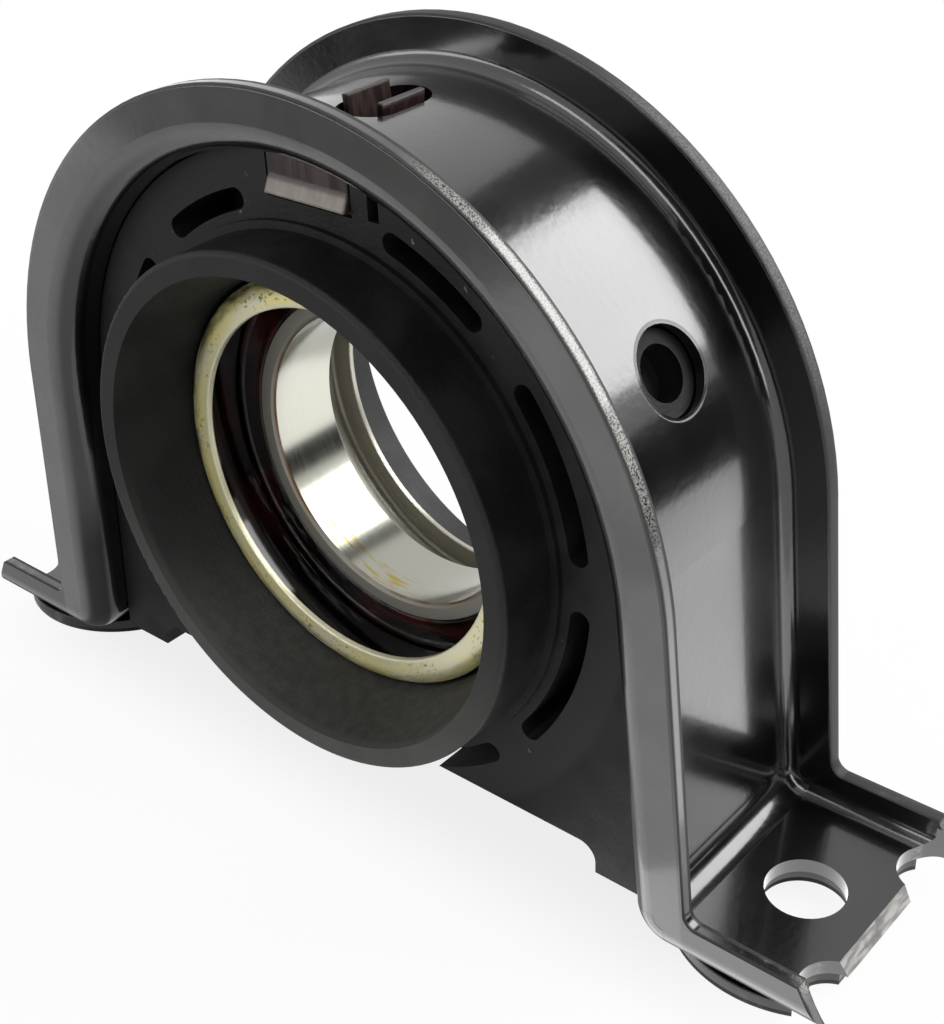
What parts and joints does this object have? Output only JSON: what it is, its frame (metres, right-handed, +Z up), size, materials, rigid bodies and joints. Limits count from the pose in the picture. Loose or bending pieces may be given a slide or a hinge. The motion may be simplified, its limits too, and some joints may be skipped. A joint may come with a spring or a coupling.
{
  "type": "driveshaft centre bearing",
  "caption": "Flanged steel arch bracket holding a rubber cushion around a sealed ball bearing that carries the middle of a driveshaft.",
  "frame": {"origin": "centre of the bearing, on the shaft axis at mid width", "axes": "+Y along the shaft towards the rear, +Z up away from the feet, +X along the line of foot bolts"},
  "size_m": [0.2386, 0.0758, 0.1532],
  "materials": {
    "bracket_paint": "gloss",
    "plate_paint": "gloss",
    "cushion_rubber": "matte",
    "clip_primer": "satin",
    "sleeve_steel": "satin",
    "yellow_zinc": "satin",
    "race_steel": "polished",
    "seal_rubber": "gloss, greased",
    "cage_steel": "satin",
    "ball_steel": "polished"
  },
  "bodies": {
    "housing": {"bracket": "bracket_paint", "foot_plate_left": "plate_paint", "foot_plate_right": "plate_paint", "rubber_cushion": "cushion_rubber", "retaining_clip": "clip_primer", "bearing_sleeve": "sleeve_steel", "front_shield": "yellow_zinc", "rear_shield": "yellow_zinc", "outer_race": "race_steel", "front_seal": "seal_rubber", "rear_seal": "seal_rubber"},
    "inner_ring": {"inner_race": "race_steel"},
    "cage": {"cage_front": "cage_steel", "cage_rear": "cage_steel", "cage_rivets": "cage_steel"},
    "ball_1": {"ball_1": "ball_steel"},
    "ball_2": {"ball_2": "ball_steel"},
    "ball_3": {"ball_3": "ball_steel"},
    "ball_4": {"ball_4": "ball_steel"},
    "ball_5": {"ball_5": "ball_steel"},
    "ball_6": {"ball_6": "ball_steel"},
    "ball_7": {"ball_7": "ball_steel"},
    "ball_8": {"ball_8": "ball_steel"},
    "ball_9": {"ball_9": "ball_steel"},
    "ball_10": {"ball_10": "ball_steel"},
    "ball_11": {"ball_11": "ball_steel"},
    "ball_12": {"ball_12": "ball_steel"},
    "ball_13": {"ball_13": "ball_steel"}
  },
  "joints": [
    {"name": "inner_ring_spin", "type": "hinge", "parent": "housing", "child": "inner_ring", "pos_m": [0, 0, 0], "axis": [0, 1, 0], "continuous": true},
    {"name": "cage_spin", "type": "hinge", "parent": "housing", "child": "cage", "pos_m": [0, 0, 0], "axis": [0, 1, 0], "continuous": true},
    {"name": "ball_1_spin", "type": "hinge", "parent": "cage", "child": "ball_1", "pos_m": [0.04125, 0, 0], "axis": [0, 1, 0], "continuous": true},
    {"name": "ball_2_spin", "type": "hinge", "parent": "cage", "child": "ball_2", "pos_m": [0.03653, 0, -0.01917], "axis": [0, 1, 0], "continuous": true},
    {"name": "ball_3_spin", "type": "hinge", "parent": "cage", "child": "ball_3", "pos_m": [0.02343, 0, -0.03395], "axis": [0, 1, 0], "continuous": true},
    {"name": "ball_4_spin", "type": "hinge", "parent": "cage", "child": "ball_4", "pos_m": [0.00497, 0, -0.04095], "axis": [0, 1, 0], "continuous": true},
    {"name": "ball_5_spin", "type": "hinge", "parent": "cage", "child": "ball_5", "pos_m": [-0.01463, 0, -0.03857], "axis": [0, 1, 0], "continuous": true},
    {"name": "ball_6_spin", "type": "hinge", "parent": "cage", "child": "ball_6", "pos_m": [-0.03088, 0, -0.02735], "axis": [0, 1, 0], "continuous": true},
    {"name": "ball_7_spin", "type": "hinge", "parent": "cage", "child": "ball_7", "pos_m": [-0.04005, 0, -0.00987], "axis": [0, 1, 0], "continuous": true},
    {"name": "ball_8_spin", "type": "hinge", "parent": "cage", "child": "ball_8", "pos_m": [-0.04005, 0, 0.00987], "axis": [0, 1, 0], "continuous": true},
    {"name": "ball_9_spin", "type": "hinge", "parent": "cage", "child": "ball_9", "pos_m": [-0.03088, 0, 0.02735], "axis": [0, 1, 0], "continuous": true},
    {"name": "ball_10_spin", "type": "hinge", "parent": "cage", "child": "ball_10", "pos_m": [-0.01463, 0, 0.03857], "axis": [0, 1, 0], "continuous": true},
    {"name": "ball_11_spin", "type": "hinge", "parent": "cage", "child": "ball_11", "pos_m": [0.00497, 0, 0.04095], "axis": [0, 1, 0], "continuous": true},
    {"name": "ball_12_spin", "type": "hinge", "parent": "cage", "child": "ball_12", "pos_m": [0.02343, 0, 0.03395], "axis": [0, 1, 0], "continuous": true},
    {"name": "ball_13_spin", "type": "hinge", "parent": "cage", "child": "ball_13", "pos_m": [0.03653, 0, 0.01917], "axis": [0, 1, 0], "continuous": true}
  ],
  "couplings": [
    {"joint": "cage_spin", "follows": "inner_ring_spin", "ratio": 0.43273},
    {"joint": "ball_1_spin", "follows": "inner_ring_spin", "ratio": -3.6489},
    {"joint": "ball_2_spin", "follows": "inner_ring_spin", "ratio": -3.6489},
    {"joint": "ball_3_spin", "follows": "inner_ring_spin", "ratio": -3.6489},
    {"joint": "ball_4_spin", "follows": "inner_ring_spin", "ratio": -3.6489},
    {"joint": "ball_5_spin", "follows": "inner_ring_spin", "ratio": -3.6489},
    {"joint": "ball_6_spin", "follows": "inner_ring_spin", "ratio": -3.6489},
    {"joint": "ball_7_spin", "follows": "inner_ring_spin", "ratio": -3.6489},
    {"joint": "ball_8_spin", "follows": "inner_ring_spin", "ratio": -3.6489},
    {"joint": "ball_9_spin", "follows": "inner_ring_spin", "ratio": -3.6489},
    {"joint": "ball_10_spin", "follows": "inner_ring_spin", "ratio": -3.6489},
    {"joint": "ball_11_spin", "follows": "inner_ring_spin", "ratio": -3.6489},
    {"joint": "ball_12_spin", "follows": "inner_ring_spin", "ratio": -3.6489},
    {"joint": "ball_13_spin", "follows": "inner_ring_spin", "ratio": -3.6489}
  ]
}
